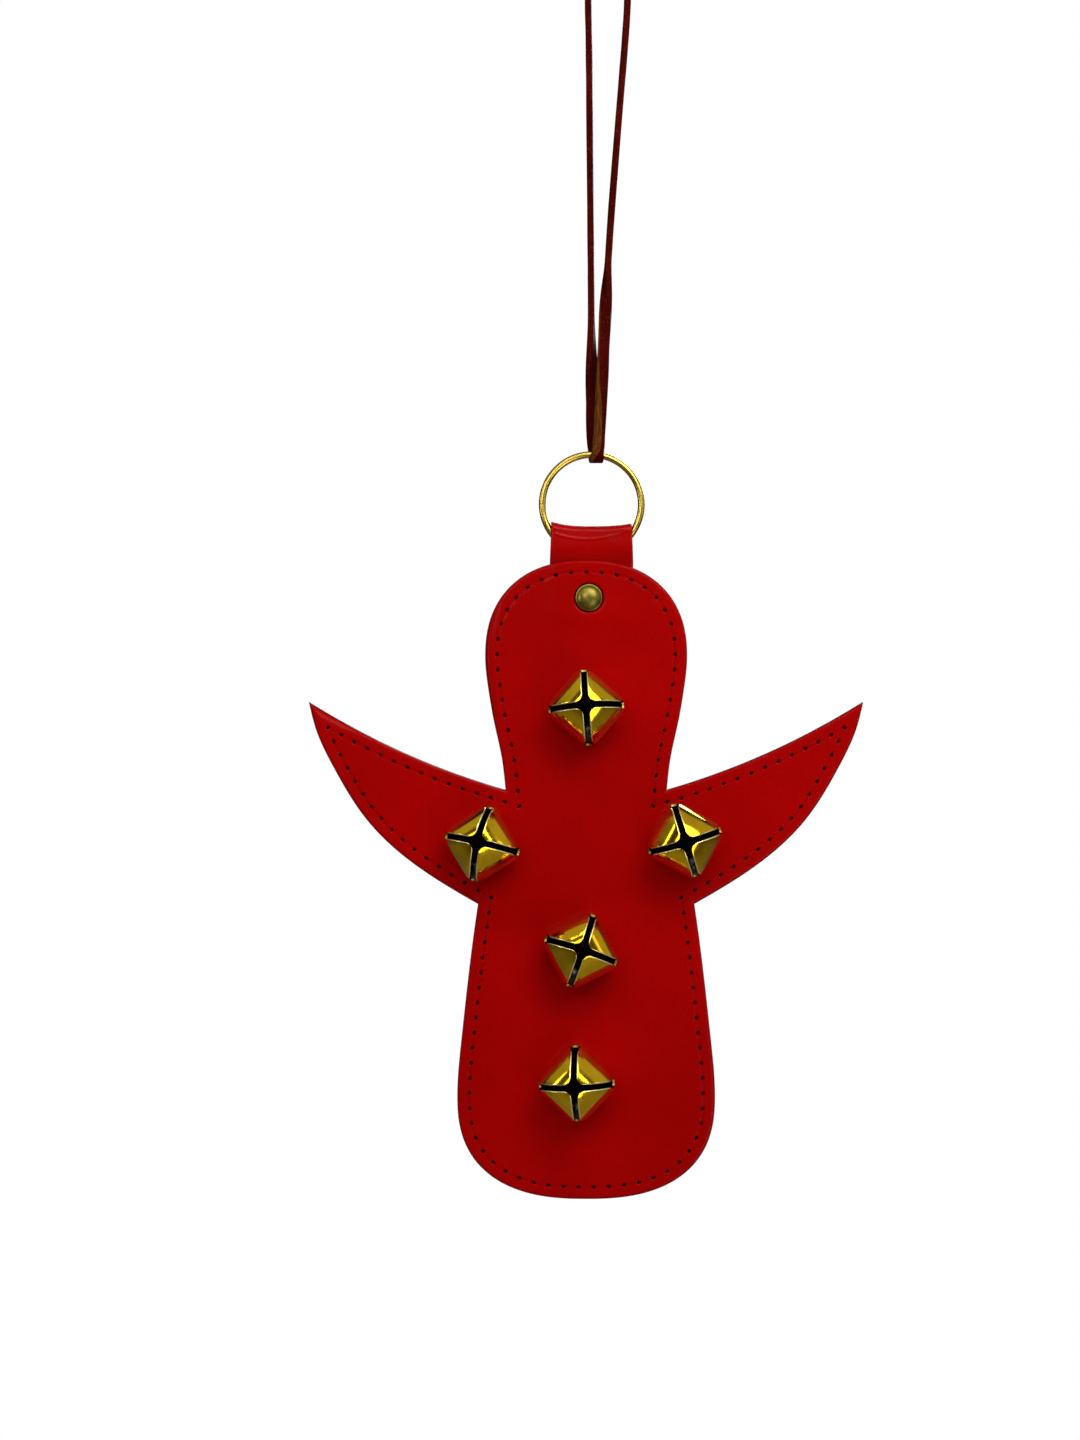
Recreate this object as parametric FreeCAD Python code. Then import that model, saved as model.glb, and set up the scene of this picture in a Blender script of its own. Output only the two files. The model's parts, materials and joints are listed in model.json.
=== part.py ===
import FreeCAD, Part
import math
import os

from FreeCAD import Placement, Rotation, Vector

# Leather angel door hanger with five petal bells.
# Millimetres. +Z up, the front faces -Y, +X to the right seen from the front.
# The origin is the hook's place: the inside top of the lace loop.

# Leather
FRONT_THICKNESS = 3.2
LINING_THICKNESS = 1.8
TAB_THICKNESS = 1.1
JOIN_Y = 0.7                      # where the front panel meets the lining
FRONT_Y = JOIN_Y - FRONT_THICKNESS
BACK_Y = JOIN_Y + LINING_THICKNESS
EDGE_BEVEL = 0.9
BEVEL_INSETS = (0.15, 0.55)       # the bevel's two steps, as shares of its depth
GAP = 0.03                        # between faces that only touch
CUT_MARGIN = 1.0                  # how far a cutting tool reaches past what it cuts

# Angel outline: half widths from its centre line, and heights
ANGEL_X = -7.3                    # the centre line, left of the hook
HEAD_TOP = -196.7
HEAD_HALF = 33.7
HEAD_RISE = 32.0
HEAD_ROUNDNESS = 2.3
HEAD_SIDE = [(32.7, -239.3), (30.6, -251.3), (28.1, -263.0)]
ARMPIT = (26.9, -273.3)
WING_TOP_MID = (55.3, -263.3)
WING_TIP = (92.4, -244.0)
WING_SWEEP = [(90.0, -253.3), (84.5, -265.3), (73.2, -283.3), (61.0, -295.3), (43.2, -307.3)]
WAIST = (36.1, -311.4)
SKIRT_SIDE = [(38.8, -331.3), (41.7, -357.3)]
SKIRT_HALF = 43.0
SKIRT_WIDEST = -375.3
HEM_DROP = 34.5
HEM_ROUNDNESS = 2.5

# Lock stitch round the outline
STITCH_INSET = 4.0
GROOVE_WIDTH = 1.0
GROOVE_DEPTH = 0.6
THREAD_WIDTH = 0.8
THREAD_DEPTH = 0.5

# Ring and lace
WIRE_RADIUS = 1.15
RING_RADIUS = 16.55               # to the middle of the wire
RING_X = ANGEL_X + 1.9
RING_Z = -177.9
LACE_RADIUS = 1.5
# The lace's route: knot, left strand behind the ring, under the wire, right strand, knot
LACE_ROUTE = [
    (-2.0, 0.0, 3.4), (-6.3, 0.1, -0.4), (-6.7, 0.2, -9.0), (-6.3, 0.4, -24.0),
    (-6.1, 0.9, -50.0), (-5.7, 1.3, -92.0), (-5.4, 2.2, -132.0), (-5.0, 3.0, -153.0),
    (-4.2, 2.95, -164.35), (-3.9, -2.95, -164.35), (-3.2, -2.8, -153.0),
    (-1.8, -2.1, -132.0), (0.2, -1.2, -92.0), (3.5, -0.8, -50.0), (5.7, -0.3, -24.0),
    (6.7, -0.2, -9.0), (6.3, -0.1, -0.4), (2.0, 0.0, 3.4)]
KNOT_CENTRE = Vector(0, 0, 4.9)
KNOT_HALF_LENGTH = 6.2
KNOT_HALF_THICKNESS = 4.6
KNOT_END_RADIUS = 2.2
TAIL_ROUTES = [
    [(1.5, -1.0, 7.0), (4.5, -1.8, 12.0), (6.5, -1.6, 20.0)],
    [(-1.0, 1.0, 7.0), (-4.8, 1.6, 11.0), (-8.5, 2.2, 16.5)]]

# Hanger tab: a strip folded over the ring's wire, legs between the panels
TAB_WIDTH = 27.4
TAB_X = 1.7                       # from the angel's centre line
TAB_HALF_GAP = 1.25
TAB_FOLD_TOP = -184.55            # inner face of the fold
TAB_CLOSE_START = -194.85
TAB_CLOSED = -198.2
TAB_END = -217.5

# Rivet through the tab
TAB_RIVET_X = 0.9
TAB_RIVET_Z = -209.2
TAB_RIVET_RADIUS = 4.5
TAB_RIVET_RISE = 2.0
TAB_RIVET_SHANK = 1.5
TAB_RIVET_BACK_RADIUS = 4.0
TAB_RIVET_BACK = 0.8

# Bells: x from the centre line, z, and how far each is turned clockwise seen from the front
BELLS = [
    (-0.1, -246.0, -4.0),
    (-34.3, -291.1, 13.0),
    (32.4, -289.8, -17.0),
    (-1.9, -326.3, 18.5),
    (-3.2, -370.1, -2.0)]
BELL_REACH = 12.7                 # half the corner-to-corner width
BELL_SIDE = 9.9                   # half the side-to-side width
BELL_HEIGHT = 21.5
BELL_EQUATOR = 11.5               # height of the widest section
BELL_BASE_RADIUS = 4.6
BELL_WALL = 0.6
BELL_SQUARENESS = 5.2             # superellipse exponent of the widest section
ROUND = 2.0                       # the exponent of a round section
CROWN_ROUNDING = 0.5              # how far the sections have turned round at the crown
CROWN_LEAN = 82.0                 # degrees from the widest section to the last one
SECTION_STEPS = 6                 # sections below the widest one, and from it up
SLOT_WIDTH = 2.2
SLOT_END_RADIUS = 2.0
SLOT_END_HEIGHT = 11.0
CROWN_HOLE_RADIUS = 2.45
PELLET_RADIUS = 3.4
PELLET_DROP = 8.2                 # from the bell's axis to the resting pellet

# Bell rivets and their washers
SHANK_RADIUS = 1.6
SHANK_CLEARANCE = 0.08
RIVET_HEAD_RADIUS = 3.2
RIVET_HEAD_RISE = 1.3
TAIL_RADIUS = 2.5
TAIL_THICKNESS = 0.4
WASHER_RADIUS = 4.0
WASHER_THICKNESS = 0.8
RECESS_DEPTH = WASHER_THICKNESS + TAIL_THICKNESS + 2 * GAP

FRONT = Vector(0, -1, 0)
BACK = Vector(0, 1, 0)
IN_ANGEL = Vector(ANGEL_X, 0, 0)


def quarter_superellipse(half_width, rise, roundness, centre_z, from_top):
    """From the top centre to the widest point, or from the widest point to the bottom centre."""
    steps = 10
    points = []
    for step in range(steps + 1):
        angle = math.pi / 2 * step / steps
        across = half_width * math.sin(angle) ** (2 / roundness)
        height = rise * math.cos(angle) ** (2 / roundness)
        points.append(Vector(across, 0, centre_z + (height if from_top else -height)))
    sideways, down = Vector(1, 0, 0), Vector(0, 0, -1)
    if not from_top:
        return interpolated(points[::-1], down, -sideways)
    return interpolated(points, sideways, down)


def interpolated(points, start=None, end=None):
    curve = Part.BSplineCurve()
    if start and end:
        curve.interpolate(Points=points, InitialTangent=start, FinalTangent=end)
    else:
        curve.interpolate(Points=points)
    return curve


def flat(*places):
    return [Vector(x, 0, z) for x, z in places]


def angel_right_curves():
    """The right half of the outline, from the top of the head down to the hem's middle."""
    down = Vector(0, 0, -1)
    head_widest = (HEAD_HALF, HEAD_TOP - HEAD_RISE)
    skirt_widest = (SKIRT_HALF, SKIRT_WIDEST)
    return [
        quarter_superellipse(HEAD_HALF, HEAD_RISE, HEAD_ROUNDNESS, HEAD_TOP - HEAD_RISE, True),
        interpolated(flat(head_widest, *HEAD_SIDE, ARMPIT), down, Vector(-0.1, 0, -1)),
        Part.Arc(*flat(ARMPIT, WING_TOP_MID, WING_TIP)).toBSpline(),
        interpolated(flat(WING_TIP, *WING_SWEEP, WAIST)),
        interpolated(flat(WAIST, *SKIRT_SIDE, skirt_widest), Vector(0.15, 0, -1), down),
        quarter_superellipse(SKIRT_HALF, HEM_DROP, HEM_ROUNDNESS, SKIRT_WIDEST, False)]


def mitre(first, second):
    """Where the end of one curve and the start of the next meet when drawn on straight."""
    start, end = first.value(first.LastParameter), second.value(second.FirstParameter)
    along = Vector(*first.tangent(first.LastParameter)[0])
    back = Vector(*second.tangent(second.FirstParameter)[0])
    across = along.cross(back)
    return start + along * ((end - start).cross(back).dot(across) / across.dot(across))


def angel_outline(inset=0):
    """The outline as a closed wire, moved inwards and with its corners kept sharp."""
    curves = angel_right_curves()
    if not inset:
        edges = [curve.toShape() for curve in curves]
        return mirrored_wire(edges)
    head, head_side, wing_top, sweep, skirt_side, hem = [
        Part.OffsetCurve(curve, inset, FRONT).toShape().Curve.toBSpline() for curve in curves]
    crossing = wing_top.intersectCC(sweep)[0]
    tip = Vector(crossing.X, crossing.Y, crossing.Z)
    wing_top.segment(wing_top.FirstParameter, wing_top.parameter(tip))
    sweep.segment(sweep.parameter(tip), sweep.LastParameter)
    edges = [curve.toShape() for curve in (head, head_side, wing_top, sweep, skirt_side, hem)]
    for first, second in ((head_side, wing_top), (sweep, skirt_side)):
        corner = mitre(first, second)
        edges.append(Part.makeLine(first.value(first.LastParameter), corner))
        edges.append(Part.makeLine(corner, second.value(second.FirstParameter)))
    return mirrored_wire(edges)


def mirrored_wire(edges):
    mirrored = [edge.mirror(Vector(0, 0, 0), Vector(1, 0, 0)) for edge in edges]
    return Part.Wire(Part.__sortEdges__(edges + mirrored))


def slab(wire, y_start, y_end):
    face = Part.Face(wire)
    face.translate(Vector(0, y_start, 0))
    return face.extrude(Vector(0, y_end - y_start, 0))


def stitch_band(width, y_start, y_end):
    """A closed strip of the given width that follows the stitch line."""
    outer = slab(angel_outline(STITCH_INSET - width / 2), y_start, y_end)
    inner = slab(angel_outline(STITCH_INSET + width / 2), y_start - CUT_MARGIN,
                 y_end + CUT_MARGIN)
    return outer.cut(inner)


def rod(radius, x, z, y_start, y_end):
    return Part.makeCylinder(radius, y_end - y_start, Vector(x, y_start, z), BACK)


def dome(radius, rise, x, z, y_base):
    """A spherical cap that stands forwards from y_base."""
    sphere_radius = (radius ** 2 + rise ** 2) / (2 * rise)
    ball = Part.makeSphere(sphere_radius, Vector(x, y_base - rise + sphere_radius, z))
    return ball.common(rod(radius + CUT_MARGIN, x, z, y_base - rise - CUT_MARGIN, y_base))


def tab_section(thickness, half_gap):
    """The folded strip seen from its end: a loop over the wire whose legs meet below it."""
    outer_y = half_gap + thickness
    fold_centre = TAB_FOLD_TOP - TAB_HALF_GAP
    closed_y = GAP / 2
    leg_y = closed_y + thickness
    bend = math.atan2(TAB_HALF_GAP - closed_y, TAB_CLOSE_START - TAB_CLOSED)
    slope_drop = thickness * math.tan(bend / 2)     # keeps the thickness where the legs bend

    def fold(radius):
        ends = [Vector(0, side * radius, fold_centre) for side in (-1, 1)]
        return Part.Arc(ends[0], Vector(0, 0, fold_centre + radius), ends[1]).toShape()

    def leg(side, y, closing_y, closed_z):
        start = TAB_CLOSE_START if y == half_gap else TAB_CLOSE_START - slope_drop
        corners = [(y, fold_centre), (y, start), (closing_y, closed_z), (closing_y, TAB_END)]
        return Part.makePolygon([Vector(0, side * across, z) for across, z in corners])

    edges = [fold(outer_y), fold(half_gap)]
    for side in (-1, 1):
        edges += leg(side, outer_y, leg_y, TAB_CLOSED + slope_drop).Edges
        edges += leg(side, half_gap, closed_y, TAB_CLOSED).Edges
        foot = [Vector(0, side * across, TAB_END) for across in (closed_y, leg_y)]
        edges.append(Part.makeLine(*foot))
    return Part.Wire(Part.__sortEdges__(edges))


def tab_body(thickness, half_gap, width):
    face = Part.Face(tab_section(thickness, half_gap))
    face.translate(Vector(TAB_X - width / 2, 0, 0))
    return face.extrude(Vector(width, 0, 0))


def tab_pocket():
    """The room the tab's legs take between the panels, filled across the fold."""
    strip = tab_body(TAB_THICKNESS + GAP, TAB_HALF_GAP, TAB_WIDTH + 2 * GAP)
    core_height = TAB_FOLD_TOP - TAB_END
    core = Part.makeBox(TAB_WIDTH, 2 * GAP, core_height,
                        Vector(TAB_X - TAB_WIDTH / 2, -GAP, TAB_END - GAP))
    return strip.fuse(core)


def bevelled_slab(y_face, y_join, depth):
    """A slab of the outline whose rim steps back towards y_face as a rounded bevel does."""
    side = math.copysign(1, y_face - y_join)
    body = slab(angel_outline(), y_join, y_face - side * depth)
    layer_start = y_face - side * depth
    for share in BEVEL_INSETS:
        layer_end = layer_start + side * depth / len(BEVEL_INSETS)
        body = body.fuse(slab(angel_outline(share * depth), layer_start, layer_end))
        layer_start = layer_end
    return body


def make_front_panel():
    panel = bevelled_slab(FRONT_Y, JOIN_Y, EDGE_BEVEL)
    panel = panel.cut(stitch_band(GROOVE_WIDTH, FRONT_Y, FRONT_Y + GROOVE_DEPTH))
    panel = panel.cut(tab_pocket())
    front, behind = FRONT_Y - CUT_MARGIN, JOIN_Y + CUT_MARGIN
    hole = TAB_RIVET_SHANK + SHANK_CLEARANCE
    panel = panel.cut(rod(hole, TAB_RIVET_X, TAB_RIVET_Z, front, behind))
    for x, z, _ in BELLS:
        panel = panel.cut(rod(SHANK_RADIUS + SHANK_CLEARANCE, x, z, front, behind))
        panel = panel.cut(rod(WASHER_RADIUS + GAP, x, z, JOIN_Y - RECESS_DEPTH, behind))
    return panel


def make_back_panel():
    lining = bevelled_slab(BACK_Y, JOIN_Y + GAP, EDGE_BEVEL / 2)
    lining = lining.cut(stitch_band(GROOVE_WIDTH, BACK_Y - GROOVE_DEPTH, BACK_Y))
    lining = lining.cut(tab_pocket())
    leg_back = TAB_THICKNESS + GAP / 2
    socket = rod(TAB_RIVET_BACK_RADIUS + GAP, TAB_RIVET_X, TAB_RIVET_Z,
                 JOIN_Y - CUT_MARGIN, leg_back + TAB_RIVET_BACK + 2 * GAP)
    return lining.cut(socket)


def make_hanger_tab():
    strip = tab_body(TAB_THICKNESS, TAB_HALF_GAP, TAB_WIDTH)
    hole = TAB_RIVET_SHANK + SHANK_CLEARANCE
    return strip.cut(rod(hole, TAB_RIVET_X, TAB_RIVET_Z, FRONT_Y, BACK_Y))


def make_tab_rivet():
    """The cap on the front, and the post with its flat back."""
    cap = dome(TAB_RIVET_RADIUS, TAB_RIVET_RISE, TAB_RIVET_X, TAB_RIVET_Z, FRONT_Y - GAP)
    leg_back = TAB_THICKNESS + GAP
    shank = rod(TAB_RIVET_SHANK, TAB_RIVET_X, TAB_RIVET_Z, FRONT_Y - GAP, leg_back)
    back = rod(TAB_RIVET_BACK_RADIUS, TAB_RIVET_X, TAB_RIVET_Z, leg_back,
               leg_back + TAB_RIVET_BACK)
    return cap, shank.fuse(back).removeSplitter()


def bell_section(reach, side, height, squareness, steps=32):
    """A rounded square with its corners on the local X and Y axes."""
    turn = math.pi / 4
    diagonal = side * math.sqrt(2) * 2 ** (-1 / squareness)
    points = []
    for step in range(steps):
        angle = 2 * math.pi * step / steps
        across, along = abs(math.cos(angle - turn)), abs(math.sin(angle - turn))
        radius = (across ** squareness + along ** squareness) ** (-1 / squareness)
        radius *= reach * side / diagonal
        points.append(Vector(radius * math.cos(angle), radius * math.sin(angle), height))
    curve = Part.BSplineCurve()
    curve.interpolate(Points=points, PeriodicFlag=True)
    return Part.Wire(curve.toShape())


def bell_solid(inward):
    """The bell's outer form, or its hollow when inward is the wall's thickness."""
    reach, side = BELL_REACH - inward, BELL_SIDE - inward
    bottom, top = inward, BELL_HEIGHT - inward
    start = BELL_BASE_RADIUS - inward
    sections = []
    for step in range(SECTION_STEPS):
        rise = step / SECTION_STEPS
        share = start / reach + (1 - start / reach) * math.sin(math.acos(1 - rise))
        height = bottom + (BELL_EQUATOR - bottom) * rise
        sections.append((share, height, rise))
    for step in range(SECTION_STEPS):
        lean = math.radians(CROWN_LEAN) * step / (SECTION_STEPS - 1)
        height = BELL_EQUATOR + (top - BELL_EQUATOR) * math.sin(lean)
        sections.append((math.cos(lean), height, 1 - CROWN_ROUNDING * math.sin(lean)))
    full_gain = 2 ** (0.5 - 1 / BELL_SQUARENESS)
    wires = []
    for share, height, square in sections:
        squareness = ROUND + (BELL_SQUARENESS - ROUND) * square
        corner_gain = 2 ** (0.5 - 1 / squareness)
        width = share * side
        wires.append(bell_section(width * corner_gain * reach / (side * full_gain), width,
                                  height, squareness))
    return Part.makeLoft(wires, True, False)


def make_bell_shell():
    """One bell standing on the origin, its crown towards +Z and its slots along X and Y."""
    shell = bell_solid(0).cut(bell_solid(BELL_WALL))
    shell = shell.cut(Part.makeCylinder(SHANK_RADIUS + SHANK_CLEARANCE, 2 * BELL_WALL))
    crown = Part.makeCylinder(CROWN_HOLE_RADIUS, BELL_HEIGHT, Vector(0, 0, BELL_EQUATOR))
    shell = shell.cut(crown)
    for direction in (Vector(1, 0, 0), Vector(0, 1, 0)):
        length = 3 * BELL_REACH
        slot_base = Vector(0, 0, SLOT_END_HEIGHT)
        ends = Part.makeCylinder(SLOT_END_RADIUS, length, slot_base - direction * length / 2,
                                 direction)
        centre_part = Part.makeCylinder(BELL_SIDE, BELL_HEIGHT)
        slot = Part.makeBox(length, SLOT_WIDTH, BELL_HEIGHT,
                            Vector(-length / 2, -SLOT_WIDTH / 2, SLOT_END_HEIGHT))
        if direction.y:
            slot.rotate(Vector(0, 0, 0), Vector(0, 0, 1), 90)
        shell = shell.cut(slot).cut(ends.cut(centre_part))
    return shell


def on_leather(x, z, turn):
    """Where a bell made on the origin goes: crown forwards, turned clockwise."""
    facing = Rotation(Vector(1, 0, 0), 90)
    turned = Rotation(Vector(0, 1, 0), turn)
    return Placement(Vector(x, FRONT_Y - GAP, z), turned.multiply(facing))


def make_bell_rivet(x, z):
    """Head inside the bell, shank through its base and the leather, tail over the washer."""
    seat = FRONT_Y - 2 * GAP - BELL_WALL
    tail_start = JOIN_Y - TAIL_THICKNESS - GAP
    head = dome(RIVET_HEAD_RADIUS, RIVET_HEAD_RISE, x, z, seat)
    shank = rod(SHANK_RADIUS, x, z, seat, tail_start)
    tail = rod(TAIL_RADIUS, x, z, tail_start, tail_start + TAIL_THICKNESS)
    return head.fuse([shank, tail]).removeSplitter()


def make_washer(x, z):
    start = JOIN_Y - RECESS_DEPTH
    disc = rod(WASHER_RADIUS, x, z, start, start + WASHER_THICKNESS)
    return disc.cut(rod(SHANK_RADIUS + GAP, x, z, start - CUT_MARGIN, JOIN_Y))


def make_pellet(x, z, turn):
    """The loose ball, at rest in the bell's lowest corner."""
    angle = math.radians(turn)
    centre = Vector(x - PELLET_DROP * math.sin(angle), FRONT_Y - GAP - BELL_EQUATOR,
                    z - PELLET_DROP * math.cos(angle))
    return Part.makeSphere(PELLET_RADIUS, centre)


def rounded_path(route):
    """Straight runs joined by tangent arcs, each as large as its two runs allow."""
    points = [Vector(*place) for place in route]
    edges, radii = [], []
    last_end = points[0]
    for before, corner, after in zip(points, points[1:], points[2:]):
        arriving, leaving = corner - before, after - corner
        turn = arriving.getAngle(leaving)
        reach = 0.45 * min(arriving.Length, leaving.Length)
        radius = reach / math.tan(turn / 2)
        arriving.normalize()
        leaving.normalize()
        start, end = corner - arriving * reach, corner + leaving * reach
        inwards = (leaving - arriving).normalize()
        middle = corner + inwards * (radius * (1 / math.cos(turn / 2) - 1))
        edges += [Part.makeLine(last_end, start), Part.Arc(start, middle, end).toShape()]
        radii.append(radius)
        last_end = end
    edges.append(Part.makeLine(last_end, points[-1]))
    return Part.Wire(edges), radii


def tube(route, radius, label):
    path, radii = rounded_path(route)
    first_run = Vector(*route[1]) - Vector(*route[0])
    circle = Part.Wire(Part.makeCircle(radius, Vector(*route[0]), first_run))
    solid = path.makePipeShell([circle], True, False)
    expected = math.pi * radius ** 2 * path.Length
    print(f"{label}: length {path.Length:.1f}, volume ratio {solid.Volume / expected:.4f},"
          f" radii {[round(value, 1) for value in radii]}")
    return solid


def make_knot():
    """The tied ends: a barrel with the two tails standing out of it."""
    left_end, right_end = Vector(-KNOT_HALF_LENGTH, 0, 0), Vector(KNOT_HALF_LENGTH, 0, 0)
    left_rim, right_rim = [end + Vector(0, 0, KNOT_END_RADIUS) for end in (left_end, right_end)]
    bulge = Part.Arc(left_rim, Vector(0, 0, KNOT_HALF_THICKNESS), right_rim).toShape()
    sides = Part.makePolygon([right_rim, right_end, left_end, left_rim])
    profile = Part.Face(Part.Wire([bulge, *sides.Edges]))
    lump = profile.revolve(Vector(0, 0, 0), Vector(1, 0, 0), 360).translated(KNOT_CENTRE)
    if lump.Volume < 0:
        lump.reverse()
    tails = [tube(route, LACE_RADIUS, "tail") for route in TAIL_ROUTES]
    return lump.fuse(tails)


def save(name, shape, shift=None):
    if shift:
        shape = shape.translated(shift)
    solids = len(shape.Solids)
    print(f"{name}: valid {shape.isValid()}, solids {solids}, volume {shape.Volume:.1f}")
    shape.exportStep(f"parts/{name}.step")


os.makedirs("parts", exist_ok=True)

knot = make_knot()
save("thong_knot", knot)
save("thong_loop", tube(LACE_ROUTE, LACE_RADIUS, "lace").cut(knot))
save("ring", Part.makeTorus(RING_RADIUS, WIRE_RADIUS, Vector(RING_X, 0, RING_Z), BACK))

save("front_panel", make_front_panel(), IN_ANGEL)
save("back_panel", make_back_panel(), IN_ANGEL)
groove_floor = FRONT_Y + GROOVE_DEPTH
save("front_thread", stitch_band(THREAD_WIDTH, groove_floor - THREAD_DEPTH, groove_floor), IN_ANGEL)
groove_floor = BACK_Y - GROOVE_DEPTH
save("back_thread", stitch_band(THREAD_WIDTH, groove_floor, groove_floor + THREAD_DEPTH), IN_ANGEL)
save("hanger_tab", make_hanger_tab(), IN_ANGEL)
rivet_cap, rivet_post = make_tab_rivet()
save("tab_rivet_cap", rivet_cap, IN_ANGEL)
save("tab_rivet_post", rivet_post, IN_ANGEL)

bell = make_bell_shell()
for number, (bell_x, bell_z, bell_turn) in enumerate(BELLS, start=1):
    shell = bell.copy()
    shell.Placement = on_leather(bell_x, bell_z, bell_turn)
    save(f"bell_{number}_shell", shell, IN_ANGEL)
    save(f"bell_{number}_rivet", make_bell_rivet(bell_x, bell_z), IN_ANGEL)
    save(f"bell_{number}_washer", make_washer(bell_x, bell_z), IN_ANGEL)
    save(f"bell_{number}_pellet", make_pellet(bell_x, bell_z, bell_turn), IN_ANGEL)
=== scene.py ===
import json
import math

import bmesh
import bpy
import numpy as np
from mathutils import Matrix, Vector, noise
from mathutils.geometry import delaunay_2d_cdt


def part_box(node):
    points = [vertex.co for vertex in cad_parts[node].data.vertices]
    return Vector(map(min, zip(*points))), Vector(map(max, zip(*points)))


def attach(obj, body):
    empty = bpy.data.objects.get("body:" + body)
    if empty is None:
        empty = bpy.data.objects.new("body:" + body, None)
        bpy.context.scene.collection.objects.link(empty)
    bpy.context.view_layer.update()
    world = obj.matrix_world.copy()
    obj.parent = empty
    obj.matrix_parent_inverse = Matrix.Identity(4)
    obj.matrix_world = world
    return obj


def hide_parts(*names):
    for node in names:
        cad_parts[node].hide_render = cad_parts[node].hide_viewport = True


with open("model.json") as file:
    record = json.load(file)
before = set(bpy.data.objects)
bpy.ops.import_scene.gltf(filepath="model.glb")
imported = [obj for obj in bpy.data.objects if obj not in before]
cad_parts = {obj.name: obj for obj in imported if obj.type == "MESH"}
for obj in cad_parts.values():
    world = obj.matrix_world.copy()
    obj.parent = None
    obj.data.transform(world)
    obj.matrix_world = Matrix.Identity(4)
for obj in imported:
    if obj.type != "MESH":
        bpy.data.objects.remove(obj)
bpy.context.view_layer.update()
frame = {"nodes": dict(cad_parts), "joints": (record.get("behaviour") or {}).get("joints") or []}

# Leather angel door hanger with five petal bells. Metres, in the frame's own axes:
# +Z up, the front faces -Y.

FRONT_LOW, FRONT_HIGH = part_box("front_panel")
FACE_Y = FRONT_LOW.y  # the front panel's face
JOIN_Y = FRONT_HIGH.y  # where it meets the lining
BACK_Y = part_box("back_panel")[1].y
ANGEL_X = (FRONT_LOW.x + FRONT_HIGH.x) / 2
HEAD_TOP = FRONT_HIGH.z
HEM_BOTTOM = FRONT_LOW.z
JOINTS = {joint["name"]: joint for joint in frame["joints"]}

# Angel outline: places are half widths from the centre line, and heights below the head's top
HEAD_HALF, HEAD_RISE, HEAD_ROUNDNESS = 0.0337, 0.032, 2.3
HEAD_SIDE = [(0.0327, -0.0426), (0.0306, -0.0546), (0.0281, -0.0663)]
ARMPIT = (0.0269, -0.0766)
WING_TOP_MID = (0.0553, -0.0666)
WING_TIP = (0.0924, -0.0473)
WING_SWEEP = [
    (0.09, -0.0566), (0.0845, -0.0686), (0.0732, -0.0866), (0.061, -0.0986), (0.0432, -0.1106)]
WAIST = (0.0361, -0.1147)
SKIRT_SIDE = [(0.0388, -0.1346), (0.0417, -0.1606)]
SKIRT_HALF, SKIRT_WIDEST, HEM_ROUNDNESS = 0.043, -0.1786, 2.5

CURVE_SPACING = 0.0005
STITCH_INSET = 0.004
STITCH_PITCH = 0.00507
BELL_COUNT = 5


# ---- camera, light and floor

CAMERA_PLACE = (-0.0227, -1.0025, -0.25)
CAMERA_SENSOR, CAMERA_LENS = 24, 50  # the long side in mm, to see 0.48 m at 1 m
LIT_PLACE = (-0.007, 0, -0.28)  # where the softboxes point
# Each softbox: its place, its width and height, and its watts
SOFTBOXES = {
    "key_light": ((0.27, -0.64, 0.21), (0.5, 0.5), 5.4),
    "fill_light": ((-0.33, -0.96, 0.09), (0.45, 0.45), 2.7),
    "low_light": ((0.46, -0.88, -0.68), (0.5, 0.5), 2.9),
    "left_light": ((-1.0, -0.5, -0.05), (0.12, 0.8), 2.2),
    "right_light": ((1.2, -0.6, -0.1), (0.3, 0.8), 0.8),
    "top_light": ((-0.1, -0.75, 0.75), (0.9, 0.18), 3.6),
    "back_light": ((0.5, 1.2, 0.4), (0.8, 0.8), 20)}
# The room's grey walls: darker round the camera, behind the object and low on the left.
# Each ramp runs along a direction from one share to another, with the walls' strength at both.
ROOM_RAMPS = [("Y", -0.56, -0.38, 0.09, 0.44), ("Y", 0.22, 0.45, 1.0, 0.05),
              ("X+Z", -0.8, 0.1, 0.15, 1.0)]
FLOOR_SIZE, FLOOR_Z, FLOOR_GREY = 8, -1.0, 0.22


def add_object(name, data):
    thing = bpy.data.objects.new(name, data)
    bpy.context.scene.collection.objects.link(thing)
    return thing


def add_camera():
    data = bpy.data.cameras.new("camera")
    data.sensor_width, data.lens = CAMERA_SENSOR, CAMERA_LENS
    camera = add_object("camera", data)
    camera.location = CAMERA_PLACE
    camera.rotation_euler = (math.pi / 2, 0, 0)
    bpy.context.scene.camera = camera


def add_softbox(name, place, size, power):
    data = bpy.data.lights.new(name, "AREA")
    data.shape = "RECTANGLE"
    data.size, data.size_y = size
    data.energy = power
    lamp = add_object(name, data)
    lamp.location = place
    lamp.rotation_euler = (Vector(LIT_PLACE) - Vector(place)).to_track_quat("-Z", "Y").to_euler()


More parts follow.
